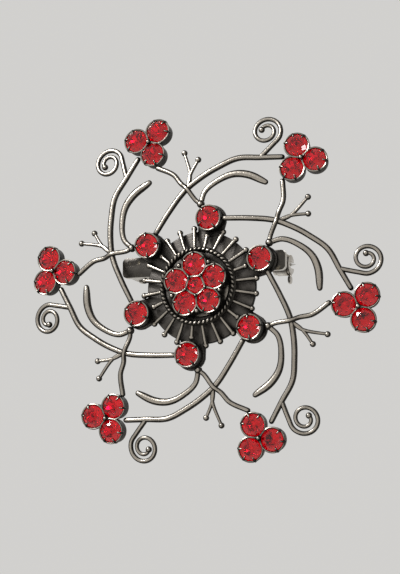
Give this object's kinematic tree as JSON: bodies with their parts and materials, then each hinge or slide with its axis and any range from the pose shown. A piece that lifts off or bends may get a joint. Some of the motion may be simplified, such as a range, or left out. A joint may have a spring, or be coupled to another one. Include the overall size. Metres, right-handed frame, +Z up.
{
  "type": "pinwheel filigree brooch",
  "caption": "Domed round openwork brooch: scroll wires curl out from a ray rosette to trefoils of red stones, with a hinged pin and turning safety catch behind.",
  "frame": {"origin": "middle of the pin bar's back face, which lies against the cloth; the wheel's axis passes 4.6 mm below it", "axes": "+Z up as worn, +Y out of the back towards the cloth, +X to the right of someone looking at the face"},
  "size_m": [0.0688, 0.0134, 0.0656],
  "materials": {
    "antique_pewter": "antiqued cast metal, dark in the recesses and rubbed bright on the high spots",
    "blackened_pewter": "blackened, matt",
    "plated_findings": "nickel plated, satin",
    "pin_steel": "polished wire",
    "red_glass": "cut and polished, foil backed, deep red"
  },
  "bodies": {
    "brooch": {"back_plate": "blackened_pewter", "flower_setting": "antique_pewter", "ray_rosette": "antique_pewter", "flower_stone_1": "red_glass", "flower_stone_2": "red_glass", "flower_stone_3": "red_glass", "flower_stone_4": "red_glass", "flower_stone_5": "red_glass", "flower_stone_middle": "red_glass", "single_cup_1": "antique_pewter", "single_stone_1": "red_glass", "single_cup_2": "antique_pewter", "single_stone_2": "red_glass", "single_cup_3": "antique_pewter", "single_stone_3": "red_glass", "single_cup_4": "antique_pewter", "single_stone_4": "red_glass", "single_cup_5": "antique_pewter", "single_stone_5": "red_glass", "single_cup_6": "antique_pewter", "single_stone_6": "red_glass", "trefoil_cups_1": "antique_pewter", "trefoil_stone_1_1": "red_glass", "trefoil_stone_1_2": "red_glass", "trefoil_stone_1_3": "red_glass", "trefoil_cups_2": "antique_pewter", "trefoil_stone_2_1": "red_glass", "trefoil_stone_2_2": "red_glass", "trefoil_stone_2_3": "red_glass", "trefoil_cups_3": "antique_pewter", "trefoil_stone_3_1": "red_glass", "trefoil_stone_3_2": "red_glass", "trefoil_stone_3_3": "red_glass", "trefoil_cups_4": "antique_pewter", "trefoil_stone_4_1": "red_glass", "trefoil_stone_4_2": "red_glass", "trefoil_stone_4_3": "red_glass", "trefoil_cups_5": "antique_pewter", "trefoil_stone_5_1": "red_glass", "trefoil_stone_5_2": "red_glass", "trefoil_stone_5_3": "red_glass", "trefoil_cups_6": "antique_pewter", "trefoil_stone_6_1": "red_glass", "trefoil_stone_6_2": "red_glass", "trefoil_stone_6_3": "red_glass", "scroll_arm_1": "antique_pewter", "scroll_arm_2": "antique_pewter", "scroll_arm_3": "antique_pewter", "scroll_arm_4": "antique_pewter", "scroll_arm_5": "antique_pewter", "scroll_arm_6": "antique_pewter", "pin_bar": "plated_findings", "hinge_rivet": "plated_findings", "catch_body": "plated_findings"},
    "pin": {"pin_stem": "pin_steel"},
    "rotor": {"catch_rotor": "plated_findings"}
  },
  "joints": [
    {"name": "pin_hinge", "type": "hinge", "parent": "brooch", "child": "pin", "pos_m": [-0.014, 0.005, 0], "axis": [0, 0, 1], "range_deg": [0, 85]},
    {"name": "catch_turn", "type": "hinge", "parent": "brooch", "child": "rotor", "pos_m": [0.0136, 0.005, 0], "axis": [1, 0, 0], "range_deg": [0, 110]}
  ]
}
